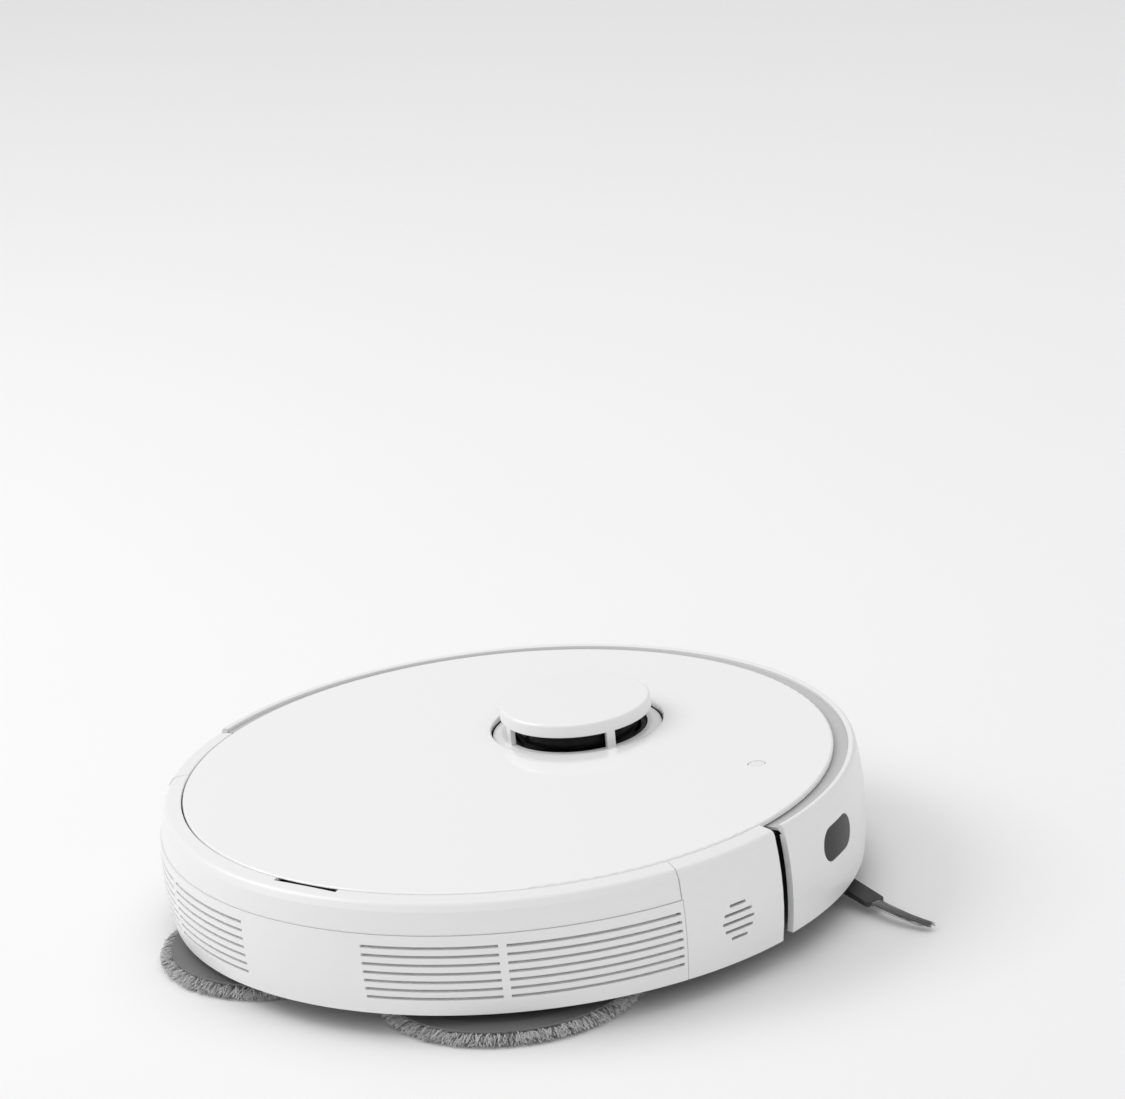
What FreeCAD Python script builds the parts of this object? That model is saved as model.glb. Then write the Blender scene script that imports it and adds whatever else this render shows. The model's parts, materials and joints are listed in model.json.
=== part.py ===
"""Robot vacuum with twin rotating mops, modelled as separate sub-parts.

Frame: origin on the floor under the body's centre, +Y the driving direction (bumper side),
+X the robot's right, +Z up.  Millimetres.  Angles called t are bearings in degrees from +Y
towards +X, so a point at bearing t and radius r is (r sin t, r cos t).
"""

import FreeCAD
import Part
import math
import os

V = FreeCAD.Vector

# ---- driving dimensions -----------------------------------------------------------------
BODY_R = 175.0            # widest outer radius, at the belly of the side wall
RIM_R = 172.6             # outer radius just under the shoulder
FOOT_R = 172.4            # outer radius at the side wall's bottom edge
BELLY_Z = 40.0
BODY_BOTTOM = 12.0        # ground clearance of the side wall
TOP_Z = 69.5              # top face of the lid
WALL = 2.4
LID_R = 161.5
LID_GAP = 0.7             # radial gap between lid and shoulder
LID_T = 2.6
SHOULDER_IN = LID_R + LID_GAP
SHOULDER_BREAK = 66.2     # height where the side wall starts to round over
BAND_BOTTOM = 53.2        # seam between the rear band and the vented skirt
BAND_INSET = 0.7
DECK_TOP = 62.4           # inner deck, under the lid
DECK_T = 2.0
PAN_TOP = 15.0            # inside face of the chassis pan

BUMPER_END = 94.4         # bumper covers bearings -94.4 to 94.4
HOUSING_START = 96.4      # side panel starts here
BAND_START = 116.4        # vertical seam between side panel and rear band
FRAME_R = 165.6           # inner wall behind the bumper
LIP_IN, LIP_TOP = 168.8, 68.7        # bumper's top lip: inner radius and height
RING_IN, RING_Z = 160.4, (66.1, 66.7)  # recessed ring inside the lip: radius, inner and outer heights

TURRET = (0.0, 60.0)      # centre of the laser turret
TURRET_R = 38.0
TURRET_TOP = 83.4
TURRET_WINDOW = (67.6, 76.0)
TURRET_POSTS = [27.6 + 90.0 * k for k in range(4)]
TURRET_HOLE_R = 43.4
TURRET_FOOT_R = 39.7
TURRET_FLANGE_R = 42.6    # flange that nearly fills the lid's hole
LASER_MOTOR = (-44.0, 35.5)
LASER_DRUM_R = 31.0
LASER_DRUM_Z = (67.6, 76.4)
LASER_SHAFT_R = 9.0
LASER_CASE_R = 34.6       # outer radius of the head's bearing base
LASER_PLATE_Z = 57.6      # underside of the base's bearing plate
LASER_TRAY_Z = 50.2       # underside of the belt tray
PULLEY_Z = (52.0, 56.2)   # both belt pulleys
BELT_RADII = (29.4, 4.0)  # belt's path round the head's pulley and the motor's pulley

MOP = (66.6, -99.5)       # right mop's centre, the left one mirrors it
MOP_R = 65.6
MOP_PLATE_R = 60.0
MOP_PLATE_TOP = 7.2
WORM_TEETH = 20           # teeth of the worm wheel on each mop shaft
WHEEL_PITCH_R = 15.0
WORM_R = 4.0
WORM_Z = 22.5
WORM_Y = MOP[1] + WHEEL_PITCH_R + WORM_R + 1.4

WHEEL = (111.0, 0.0, 28.0)
WHEEL_R = 28.0
TYRE_IN = 20.5
WHEEL_W = 17.0
ARM_PIVOT = (-44.0, 33.0)  # y and z of the suspension pivot
ARM_X = (84.0, 99.5)       # the gearbox arm beside the wheel
PIN_R = 3.0

BRUSH_Y, BRUSH_Z = 56.0, 21.5
BRUSH_R = 20.0
BRUSH_HALF = 75.0
AXLE_R = 3.0
CAGE_R = 23.0
CAGE_T = 2.0
MOUTH_Y = (34.0, 78.0)

SIDE_BRUSH = (118.0, 79.0)
SIDE_BRUSH_REACH = 102.0
SIDE_BRUSH_ARM = 68.0
SIDE_ARMS = (116.0, 296.0)           # bearings of the two arms at rest
TUFT_SWEEP = -4.7                    # the tufts trail by this bearing
CASTER = (0.0, 130.0)
CASTER_R = 12.5
CASTER_TRAIL = 9.0

BIN = (-52.0, 46.0, -54.0, 17.5)     # x0, x1, y0, y1
BIN_Z = (27.0, 64.0)
DUST_PORT = (-46.0, -6.0, -2.0, 18.0)  # emptying port under the dust bin: x0, x1, y0, y1
FAN = (100.0, -88.0)
FAN_R = 29.0
FAN_Z = (29.0, 58.4)
TANK_R = 156.0
TANK_Z = (31.0, 63.6)
TANK_MOUTH = (-20.0, -120.0)         # filling hole of the water tank
PUMP = (-146.0, -18.0)
BOARD_Z = 48.0
CLIFF_BEARINGS = (14.0, 346.0, 78.0, 282.0)
CATCH_BEARINGS = (35.0, 325.0, 100.0, 260.0)
CONTACT_X, CONTACT_Y = 46.0, (118.0, 127.0)
BATTERY = (-104.0, -28.0, 86.0, 122.0)
BUTTON = (117.0, 47.0)               # push button in the lid
BUTTON_R = 4.2

VENT_ROWS = 7
VENT_Z0, VENT_PITCH, VENT_H = 21.0, 4.35, 1.5
VENT_GROUPS = [(117.0, 144.9), (146.2, 168.2)]
SPEAKER_T, SPEAKER_Z = 106.6, 34.0
SPEAKER_ROWS = [(8.4, 10.0), (4.2, 17.0), (0.0, 19.5), (-4.2, 17.0), (-8.4, 10.0)]  # height, width
SPEAKER_SLOT_H = 1.5
WALL_SENSOR_T, WALL_SENSOR_Z = 79.4, 45.0
WALL_SENSOR_SIZE = (33.0, 17.5)
FRONT_SENSOR_Z = 44.0
FRONT_SENSOR_SIZE = (76.0, 17.0)
SENSOR_CUT = (155.0, 180.0)          # radii between which the sensor openings are cut
NOTCH_HALF, NOTCH_DEPTH = 18.5, 7.0  # finger notch at the lid's rear edge

EASE = 0.3                           # running clearance between moving bodies


# ---- helpers ------------------------------------------------------------------------------
def at(t, r, z=0.0):
    """Point at bearing t (degrees), radius r and height z."""
    a = math.radians(t)
    return V(r * math.sin(a), r * math.cos(a), z)


def box(x0, x1, y0, y1, z0, z1, fillet=0.0):
    """Box between limits, with its upright edges rounded."""
    shape = Part.makeBox(x1 - x0, y1 - y0, z1 - z0, V(x0, y0, z0))
    if fillet:
        upright = [e for e in shape.Edges if abs(e.tangentAt(e.FirstParameter).z) > 0.99]
        shape = shape.makeFillet(fillet, upright)
    return shape


def rod(x, y, z0, z1, r):
    """Upright cylinder."""
    return Part.makeCylinder(r, z1 - z0, V(x, y, z0))


def rod_x(x0, x1, y, z, r):
    """Cylinder along X."""
    return Part.makeCylinder(r, x1 - x0, V(x0, y, z), V(1, 0, 0))


def tube_x(x0, x1, y, z, r_out, r_in):
    return rod_x(x0, x1, y, z, r_out).cut(rod_x(x0 - 1, x1 + 1, y, z, r_in))


def ring(x, y, z0, z1, r_out, r_in):
    return rod(x, y, z0, z1, r_out).cut(rod(x, y, z0 - 1, z1 + 1, r_in))


def profile(points):
    """Closed face in the XZ plane from (r, z) or (r, z, fillet) corners."""
    n = len(points)
    corners = [V(p[0], 0, p[1]) for p in points]
    fillets = [p[2] if len(p) > 2 else 0.0 for p in points]
    starts, ends, arcs = [None] * n, [None] * n, [None] * n
    for i in range(n):
        c, f = corners[i], fillets[i]
        if not f:
            starts[i] = ends[i] = c
            continue
        a = (corners[i - 1] - c).normalize()
        b = (corners[(i + 1) % n] - c).normalize()
        half = math.acos(max(-1.0, min(1.0, a.dot(b)))) / 2
        reach = f / math.tan(half)
        middle = (a + b).normalize()
        starts[i], ends[i] = c + a * reach, c + b * reach
        arcs[i] = Part.Arc(starts[i], c + middle * (f / math.sin(half) - f), ends[i])
    edges = []
    for i in range(n):
        if arcs[i]:
            edges.append(arcs[i].toShape())
        j = (i + 1) % n
        if ends[i].distanceToPoint(starts[j]) > 1e-6:
            edges.append(Part.LineSegment(ends[i], starts[j]).toShape())
    return Part.Face(Part.Wire(edges))


def sector(points, t0=None, t1=None, centre=(0.0, 0.0)):
    """The (r, z) profile revolved about an upright axis, whole or from bearing t0 to t1."""
    face = profile(points)
    if t0 is None:
        shape = face.revolve(V(0, 0, 0), V(0, 0, 1), 360)
    else:
        face.rotate(V(0, 0, 0), V(0, 0, 1), 90 - t0)
        shape = face.revolve(V(0, 0, 0), V(0, 0, -1), t1 - t0)
    shape.translate(V(centre[0], centre[1], 0))
    return shape


def fuse(shapes):
    shapes = list(shapes)
    if len(shapes) == 1:
        return shapes[0]
    return shapes[0].multiFuse(shapes[1:]).removeSplitter()


def group(shapes):
    return Part.makeCompound(list(shapes))


def mirror(shape):
    return shape.mirror(V(0, 0, 0), V(1, 0, 0))


def both(shape):
    return [shape, mirror(shape)]


def side_radius(z):
    """Outer radius of the barrel-shaped side wall at height z."""
    if z > BELLY_Z:
        edge, span = RIM_R, SHOULDER_BREAK - BELLY_Z
    else:
        edge, span = FOOT_R, BELLY_Z - BODY_BOTTOM
    return BODY_R - (BODY_R - edge) * ((z - BELLY_Z) / span) ** 2


def wall_points(z0, z1, inset=0.0):
    """Outer wall corners from z1 down to z0, along the barrel curve."""
    steps = 6
    heights = [z1 + (z0 - z1) * k / steps for k in range(steps + 1)]
    return [(side_radius(z) - inset, z) for z in heights]


def side_wall(z0, z1, t0, t1, inset=0.0, thick=WALL):
    """A stretch of the barrel-shaped side wall between two heights and bearings."""
    outer = wall_points(z0, z1, inset)
    inner = [(r - thick, z) for r, z in reversed(outer)]
    return sector(outer + inner, t0, t1)


def shoulder(inset=0.0):
    """Corners of the rounded shoulder from the lid gap out to the side wall."""
    return [
        (SHOULDER_IN, TOP_Z - 0.3, 0.5),
        (RIM_R - 2.2 - inset, TOP_Z - 1.6, 3.2),
        (side_radius(SHOULDER_BREAK - 2.0) - inset, SHOULDER_BREAK - 2.0),
    ]


def stadium_cutter(t, z, width, height, r0, r1):
    """Stadium-shaped plug on a radial axis at bearing t."""
    end = height / 2
    half = width / 2 - end
    low = V(-half, 0, -end)
    wire = Part.Wire([
        Part.LineSegment(low, V(half, 0, -end)).toShape(),
        Part.Arc(V(half, 0, -end), V(half + end, 0, 0), V(half, 0, end)).toShape(),
        Part.LineSegment(V(half, 0, end), V(-half, 0, end)).toShape(),
        Part.Arc(V(-half, 0, end), V(-half - end, 0, 0), low).toShape(),
    ])
    plug = Part.Face(wire).extrude(V(0, r1 - r0, 0))
    plug.translate(V(0, r0, z))
    plug.rotate(V(0, 0, 0), V(0, 0, 1), -t)
    return plug


def radial_rod(t, z, r0, r1, radius):
    """Cylinder on a radial axis at bearing t."""
    d = at(t, 1.0)
    return Part.makeCylinder(radius, r1 - r0, at(t, r0, z), d)


# ---- body shell ---------------------------------------------------------------------------
def vent_cutters():
    slots = []
    for t0, t1 in VENT_GROUPS:
        for row in range(VENT_ROWS):
            z = VENT_Z0 + VENT_PITCH * row
            slot = sector(
                [(BODY_R - 6, z - VENT_H / 2), (BODY_R + 4, z - VENT_H / 2),
                 (BODY_R + 4, z + VENT_H / 2), (BODY_R - 6, z + VENT_H / 2)],
                t0, t1,
            )
            slots += both(slot)
    return group(slots)


def speaker_cutters():
    slots = []
    for dz, width in SPEAKER_ROWS:
        slots.append(
            stadium_cutter(SPEAKER_T, SPEAKER_Z + dz, width, SPEAKER_SLOT_H, BODY_R - 8, BODY_R + 4)
        )
    return group(slots)


def rear_housing():
    """Vented skirt round the rear, rising to the full height as a panel beyond a groove at each side."""
    skirt = side_wall(BODY_BOTTOM, BAND_BOTTOM - 0.25, BAND_START, 360 - BAND_START)
    foot_ledge = sector(
        [(FOOT_R - 6.0, BODY_BOTTOM), (FOOT_R - 1.0, BODY_BOTTOM),
         (FOOT_R - 1.0, PAN_TOP), (FOOT_R - 6.0, PAN_TOP)],
        HOUSING_START + 0.4, 360 - HOUSING_START - 0.4,
    )
    panels = []
    for t0, t1 in ((HOUSING_START, BAND_START + 0.05),
                   (360 - BAND_START - 0.05, 360 - HOUSING_START)):
        outer = shoulder() + wall_points(BODY_BOTTOM, SHOULDER_BREAK - 2.0)[1:]
        inner = [(r - WALL, z) for r, z in reversed(wall_points(BODY_BOTTOM, TOP_Z - 6.0))]
        panels.append(sector(outer + inner + [(SHOULDER_IN, TOP_Z - 2.6)], t0, t1))
    shell = fuse([skirt, foot_ledge] + panels)
    ends = [e for e in shell.Edges if is_panel_end(e)]
    try:
        shell = shell.makeFillet(2.0, ends)
    except Exception as problem:
        print("panel end fillet left out:", problem)
    grooves = both(side_wall(BODY_BOTTOM - 1, BAND_BOTTOM + 1, BAND_START - 0.1, BAND_START + 0.1, -0.5, 1.1))
    return shell.cut(group(grooves)).cut(vent_cutters()).cut(speaker_cutters())


def is_panel_end(edge):
    """True for an outer upright edge of a side panel, next to the bumper."""
    box_ = edge.BoundBox
    if box_.ZLength < 8:
        return False
    for p in (edge.valueAt(edge.FirstParameter), edge.valueAt(edge.LastParameter)):
        t = abs(math.degrees(math.atan2(p.x, p.y)))
        r = math.hypot(p.x, p.y)
        if abs(t - HOUSING_START) > 0.3 or r < side_radius(min(p.z, SHOULDER_BREAK)) - 0.4:
            return False
    return True


def rear_band():
    """Upper rear cover: the shoulder with an inset band under it."""
    t0, t1 = BAND_START + 0.15, 360 - BAND_START - 0.15
    outer = shoulder(BAND_INSET) + wall_points(BAND_BOTTOM, SHOULDER_BREAK - 2.0, BAND_INSET)[1:]
    inner = [(r - WALL, z)
             for r, z in reversed(wall_points(BAND_BOTTOM, TOP_Z - 6.0, BAND_INSET))]
    band = sector(outer + inner + [(SHOULDER_IN, TOP_Z - 2.6)], t0, t1)
    notch = box(-NOTCH_HALF, NOTCH_HALF, -SHOULDER_IN - 1.6, -SHOULDER_IN + 6, TOP_Z - 3.4, TOP_Z + 2)
    return band.cut(notch)


def vent_liner():
    """Louvre backing behind the exhaust slots, with its own slots half a pitch lower."""
    liner = side_wall(20.0, 53.0, 117.4, 360 - 117.4, WALL + 0.5, 1.4)
    slots = []
    for row in range(VENT_ROWS - 1):
        z = VENT_Z0 + VENT_PITCH * (row + 0.5)
        for t0, t1 in VENT_GROUPS:
            slots += both(sector(
                [(BODY_R - 9, z - 0.5), (BODY_R, z - 0.5), (BODY_R, z + 0.5),
                 (BODY_R - 9, z + 0.5)], t0 + 1, t1 - 1))
    return liner.cut(group(slots))


def deck():
    """Inner frame: the deck under the lid with the ring wall behind the bumper."""
    plate = rod(0, 0, DECK_TOP - DECK_T, DECK_TOP, FRAME_R - 1.0)
    rear_lip = sector(
        [(SHOULDER_IN - 3.0, DECK_TOP - 1.0), (SHOULDER_IN, DECK_TOP - 1.0),
         (SHOULDER_IN, TOP_Z - 3.2), (SHOULDER_IN - 3.0, TOP_Z - 3.2)],
        HOUSING_START + 0.2, 360 - HOUSING_START - 0.2)
    front_wall = sector(
        [(FRAME_R - 2.0, PAN_TOP), (FRAME_R, PAN_TOP), (FRAME_R, DECK_TOP + 1.2, 0.8),
         (FRAME_R - 2.0, DECK_TOP + 1.2)],
        360 - HOUSING_START - 3.0, 360 + HOUSING_START + 3.0)
    rear_lip = rear_lip.cut(box(-NOTCH_HALF, NOTCH_HALF, -170, -150, DECK_TOP + 1.0, TOP_Z))
    shape = fuse([plate, rear_lip, front_wall])
    x0, x1, y0, y1 = BIN
    shape = shape.cut(box(x0 - 0.8, x1 + 0.8, y0 - 0.8, y1 + 0.8, DECK_TOP - 5, DECK_TOP + 2, 7.0))
    shape = shape.cut(rod(TURRET[0], TURRET[1], DECK_TOP - 5, TOP_Z + 5, TURRET_FOOT_R + 0.7))
    shape = shape.cut(tank_outline(0.8, DECK_TOP - 5, DECK_TOP + 2))
    for hole in lid_catches_at():
        shape = shape.cut(rod(hole[0], hole[1], DECK_TOP - 1.2, DECK_TOP + 1, 4.2))
    return shape


def lid_catches_at():
    return [(p.x, p.y) for p in (at(t, 148.0) for t in CATCH_BEARINGS)]


def chassis_pan():
    """Bottom pan with the wheel wells, brush mouth, caster well and mop drive openings."""
    pan = rod(0, 0, BODY_BOTTOM, PAN_TOP, FRAME_R - 0.3)
    rear = sector(
        [(FRAME_R - 12, BODY_BOTTOM), (FOOT_R - 6.2, BODY_BOTTOM),
         (FOOT_R - 6.2, PAN_TOP), (FRAME_R - 12, PAN_TOP)],
        HOUSING_START + 0.4, 360 - HOUSING_START - 0.4)
    rim = sector(
        [(FRAME_R - 6.0, PAN_TOP - 0.5), (FRAME_R - 3.0, PAN_TOP - 0.5),
         (FRAME_R - 3.0, 22.0), (FRAME_R - 6.0, 22.0)],
        360 - HOUSING_START, 360 + HOUSING_START)
    pan = fuse([pan, rear, rim])
    pan = pan.cut(rod(SIDE_BRUSH[0], SIDE_BRUSH[1], PAN_TOP, 30, 17.0))
    wells = both(box(ARM_X[0] - 2.5, WHEEL[0] + WHEEL_W / 2 + 2.5, -56, 34, 5, 30, 4.0))
    pan = pan.cut(group(wells))
    pan = pan.cut(box(-BRUSH_HALF - 8, BRUSH_HALF + 8, *MOUTH_Y, 5, 30, 3.0))
    pan = pan.cut(rod(CASTER[0], CASTER[1], 5, 30, 24.0))
    pan = pan.cut(rod(SIDE_BRUSH[0], SIDE_BRUSH[1], 5, 30, 7.0))
    for sign in (-1, 1):
        pan = pan.cut(rod(sign * MOP[0], MOP[1], 5, 30, 12.5))
        pan = pan.cut(rod(sign * MOP[0], MOP[1], 5, BODY_BOTTOM + 1.0, 30.0))
    for x, y, a in cliff_places():
        pan = pan.cut(cliff_block(x, y, a, 0.0))
    for cutter in contact_blocks():
        pan = pan.cut(cutter)
    for x, y in pan_screw_places():
        pan = pan.cut(rod(x, y, 5, 30, 1.7)).cut(rod(x, y, 5, BODY_BOTTOM + 1.6, 3.2))
    x0, x1, y0, y1 = DUST_PORT
    pan = pan.cut(box(x0, x1, y0, y1, 5, 30, 3.0))
    return fuse([pan, dust_duct()])


def pan_screw_places():
    spots = [(t, 155.0) for t in (28, 62, 298, 332, 180)] + [(t, 145.0) for t in (101, 259)]
    places = [(p.x, p.y) for p in (at(t, r) for t, r in spots)]
    return places + [(0.0, -40.0), (66.0, -32.0), (-66.0, -32.0)]


def cliff_places():
    return [(p.x, p.y, t) for p, t in ((at(t, 152.0), t) for t in CLIFF_BEARINGS)]


def cliff_block(x, y, t, grow):
    block = box(-11 - grow, 11 + grow, -4.5 - grow, 4.5 + grow, BODY_BOTTOM - 2, BODY_BOTTOM + 2)
    block.rotate(V(0, 0, 0), V(0, 0, 1), -t)
    block.translate(V(x, y, 0))
    return block


def contact_blocks():
    """Pockets in the pan for the charging contacts."""
    y0, y1 = CONTACT_Y
    middles = [s * CONTACT_X for s in (-1, 1)]
    return [box(x - 11, x + 11, y0, y1, BODY_BOTTOM - 2, BODY_BOTTOM + 2) for x in middles]


def tank_outline(grow, z0, z1):
    """Plan outline of the water tank: the rear left of the body, kept clear of the fan."""
    disc = rod(0, 0, z0, z1, TANK_R + grow)
    window = box(-150 - grow, 62 + grow, -170, -60 + grow, z0, z1)
    return disc.common(window)


# ---- lid and turret -----------------------------------------------------------------------
def lid():
    disc = sector([(0, TOP_Z), (LID_R, TOP_Z, 1.2), (LID_R, TOP_Z - LID_T), (0, TOP_Z - LID_T)])
    skirt = ring(0, 0, TOP_Z - LID_T - 1.2, TOP_Z - LID_T + 0.2, LID_R - 5.0, LID_R - 7.0)
    shape = disc.fuse(skirt)
    shape = shape.cut(rod(TURRET[0], TURRET[1], TOP_Z - 8, TOP_Z + 5, TURRET_HOLE_R))
    shape = shape.cut(rod(BUTTON[0], BUTTON[1], TOP_Z - 8, TOP_Z + 5, BUTTON_R + EASE))
    shape = shape.cut(box(-NOTCH_HALF, NOTCH_HALF, -LID_R - 2, -LID_R + NOTCH_DEPTH,
                          TOP_Z - LID_T - 2, TOP_Z - 0.9))
    edge = [e for e in shape.Edges
            if abs(e.BoundBox.ZMax - TOP_Z) < 0.01 and e.BoundBox.ZLength < 0.01
            and abs(e.BoundBox.XLength - 2 * TURRET_HOLE_R) < 0.5]
    shape = shape.makeFillet(0.9, edge).removeSplitter()
    magnets = [rod(x, y, TOP_Z - LID_T - 3.0, TOP_Z - LID_T + 0.1, 3.8) for x, y in lid_catches_at()]
    return fuse([shape] + magnets)


def power_button():
    cap = rod(BUTTON[0], BUTTON[1], TOP_Z - LID_T, TOP_Z - 0.1, BUTTON_R)
    flange = rod(BUTTON[0], BUTTON[1], TOP_Z - LID_T - 1.3, TOP_Z - LID_T - 0.3, BUTTON_R + 1.6)
    neck = rod(BUTTON[0], BUTTON[1], TOP_Z - LID_T - 0.4, TOP_Z - LID_T + 0.1, BUTTON_R - 0.5)
    shape = fuse([cap, flange, neck])
    top = [e for e in shape.Edges
           if abs(e.BoundBox.ZMax - (TOP_Z - 0.1)) < 0.01 and e.BoundBox.ZLength < 0.01]
    return shape.makeFillet(0.4, top)


def turret_cap():
    """Floating cap of the laser turret with its four posts and foot ring."""
    z0, z1 = TURRET_WINDOW
    cap = sector(
        [(0, TURRET_TOP), (TURRET_R, TURRET_TOP - 0.6, 1.6), (TURRET_R + 0.2, z1, 0.5),
         (TURRET_R - 2.4, z1), (TURRET_R - 2.8, TURRET_TOP - 2.6), (0, TURRET_TOP - 2.6)],
        centre=TURRET)
    foot = sector(
        [(TURRET_R - 2.4, DECK_TOP + 1.4), (TURRET_FOOT_R, DECK_TOP + 1.4), (TURRET_FOOT_R, z0 - 1.7),
         (TURRET_FLANGE_R, z0 - 1.7), (TURRET_FLANGE_R, z0 - 0.9), (TURRET_R + 0.2, z0),
         (TURRET_R - 2.4, z0)], centre=TURRET)
    posts = []
    for t in TURRET_POSTS:
        corners = [(TURRET_R - 2.4, z0 - 1), (TURRET_R + 0.2, z0 - 1),
                   (TURRET_R + 0.2, z1 + 1), (TURRET_R - 2.4, z1 + 1)]
        posts.append(sector(corners, t - 3.4, t + 3.4, TURRET))
    return fuse([cap, foot] + posts)


def laser_head():
    """Spinning laser head: drum with two lens openings and the belt pulley under it."""
    x, y = TURRET
    low, high = LASER_DRUM_Z
    eye_z = (low + high) / 2
    drum = rod(x, y, low, high, LASER_DRUM_R)
    for bearing, eye_r in ((20.0, 3.4), (344.0, 2.6)):
        drum = drum.cut(radial_pocket(x, y, bearing, eye_z, eye_r))
    shaft = rod(x, y, PULLEY_Z[1] - 0.2, low + 0.4, LASER_SHAFT_R)
    rim = BELT_RADII[0] + 0.6
    groove = ring(x, y, PULLEY_Z[0] + 1.2, PULLEY_Z[1] - 1.2, rim + 1.0, rim - 1.2)
    pulley = ring(x, y, *PULLEY_Z, rim, 6.0).cut(groove)
    return fuse([drum, shaft, pulley])


def radial_pocket(x, y, t, z, radius):
    """Round pocket sunk 5 mm into the laser drum's side."""
    d = at(t, 1.0)
    return Part.makeCylinder(radius, 12, V(x, y, z) + d * (LASER_DRUM_R - 5.0), d)


def laser_base():
    """Fixed bearing housing of the laser head, with the belt tray under it."""
    x, y = TURRET
    plate_z, tray_z = LASER_PLATE_Z, LASER_TRAY_Z
    case, bore = LASER_CASE_R, LASER_CASE_R - 2.2
    cup_top = LASER_DRUM_Z[0] - 1.2
    plate = rod(x, y, plate_z, plate_z + 1.8, case)
    cup = ring(x, y, plate_z + 1.4, cup_top, case, bore)
    hub = ring(x, y, plate_z, cup_top, LASER_SHAFT_R + 4.0, LASER_SHAFT_R - 1.0)
    wall = ring(x, y, tray_z, plate_z + 0.4, case, bore)
    mx, my = LASER_MOTOR
    tray = fuse([rod(x, y, tray_z, tray_z + 1.0, case), belt_outline(4.5, tray_z, tray_z + 1.0)])
    ears = []
    for t in (0.0, 110.0, 250.0):
        ear = box(-4.5, 4.5, 33.0, 46.0, plate_z, DECK_TOP - DECK_T - 0.05)
        ear.rotate(V(0, 0, 0), V(0, 0, 1), -t)
        ear.translate(V(x, y, 0))
        ears.append(ear)
    shape = fuse([plate, cup, hub, wall, tray] + ears)
    shape = shape.cut(rod(x, y, 52, 90, LASER_SHAFT_R + EASE)).cut(rod(x, y, 48, 52, 5.0))
    belt_gap = belt_outline(2.0, PULLEY_Z[0] + 0.2, PULLEY_Z[1] + 0.6).cut(rod(x, y, 50, 60, 32.0))
    return shape.cut(belt_gap).cut(rod(mx, my, 48, 54, 2.2))


def laser_motor():
    """Small can motor hung under the belt tray."""
    x, y = LASER_MOTOR
    return fuse([ring(x, y, 44.4, LASER_TRAY_Z - 0.1, 8.5, 1.6 + EASE), rod(x, y, 43.6, 44.6, 8.5)])


def laser_motor_pulley():
    """Motor's grooved pulley on its shaft."""
    x, y = LASER_MOTOR
    rim = BELT_RADII[1] + 0.6
    groove = ring(x, y, PULLEY_Z[0] + 1.2, PULLEY_Z[1] - 1.2, rim + 1.4, rim - 1.2)
    wheel = ring(x, y, *PULLEY_Z, rim, 1.0).cut(groove)
    return fuse([wheel, rod(x, y, 45.2, PULLEY_Z[1] + 0.8, 1.6)])


def belt_outline(grow, z0, z1):
    """Closed path round both pulleys, as a solid of that plan."""
    big, small = (radius + grow for radius in BELT_RADII)
    dx, dy = LASER_MOTOR[0] - TURRET[0], LASER_MOTOR[1] - TURRET[1]
    span = math.hypot(dx, dy)
    lean = math.asin((big - small) / span)
    s, c = math.sin(lean), math.cos(lean)
    a, b = V(-big * s, big * c, 0), V(-span - small * s, small * c, 0)
    d, e = V(b.x, -b.y, 0), V(a.x, -a.y, 0)
    wire = Part.Wire([
        Part.LineSegment(a, b).toShape(),
        Part.Arc(b, V(-span - small, 0, 0), d).toShape(),
        Part.LineSegment(d, e).toShape(),
        Part.Arc(e, V(big, 0, 0), a).toShape(),
    ])
    loop = Part.Face(wire).extrude(V(0, 0, z1 - z0))
    loop.rotate(V(0, 0, 0), V(0, 0, 1), math.degrees(math.atan2(-dy, -dx)))
    loop.translate(V(TURRET[0], TURRET[1], z0))
    return loop


def laser_belt():
    """Flat belt round both pulleys."""
    return belt_outline(0.5, 53.5, 54.7).cut(belt_outline(-0.25, 53.0, 55.0))


# ---- bumper -------------------------------------------------------------------------------
def bumper():
    """Sprung bumper shell with a thin lip at its top."""
    outer = [(LIP_IN, LIP_TOP - 0.5, 0.3), (RIM_R - 1.6, LIP_TOP, 0.6), (RIM_R - 0.2, LIP_TOP - 1.6, 0.6)]
    outer += wall_points(BODY_BOTTOM + 1.5, SHOULDER_BREAK - 1.5)
    inner = [(r - 2.0, z) for r, z in reversed(wall_points(BODY_BOTTOM + 1.5, TOP_Z - 5.6))]
    shape = sector(outer + inner + [(LIP_IN, LIP_TOP - 2.8)], 360 - BUMPER_END, 360 + BUMPER_END)
    ends = []
    for sign in (-1, 1):
        edge = sign * BUMPER_END
        ends.append(side_wall(BODY_BOTTOM + 1.6, TOP_Z - 6.0, min(edge, edge - sign * 1.2),
                              max(edge, edge - sign * 1.2), 0.1, 3.4))
    shape = fuse([shape] + ends)
    shape = shape.cut(stadium_cutter(WALL_SENSOR_T, WALL_SENSOR_Z, *WALL_SENSOR_SIZE, *SENSOR_CUT))
    return shape.cut(stadium_cutter(0.0, FRONT_SENSOR_Z, *FRONT_SENSOR_SIZE, *SENSOR_CUT))


def bumper_ring():
    """Ring strip inside the bumper's lip, sloping down under the lid's edge."""
    low, high = RING_Z
    return sector(
        [(RING_IN, low, 0.3), (LIP_IN - 0.03, high), (LIP_IN - 0.03, high - 1.4), (RING_IN, low - 1.3)],
        360 - BUMPER_END + 0.1, 360 + BUMPER_END - 0.1)


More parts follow.
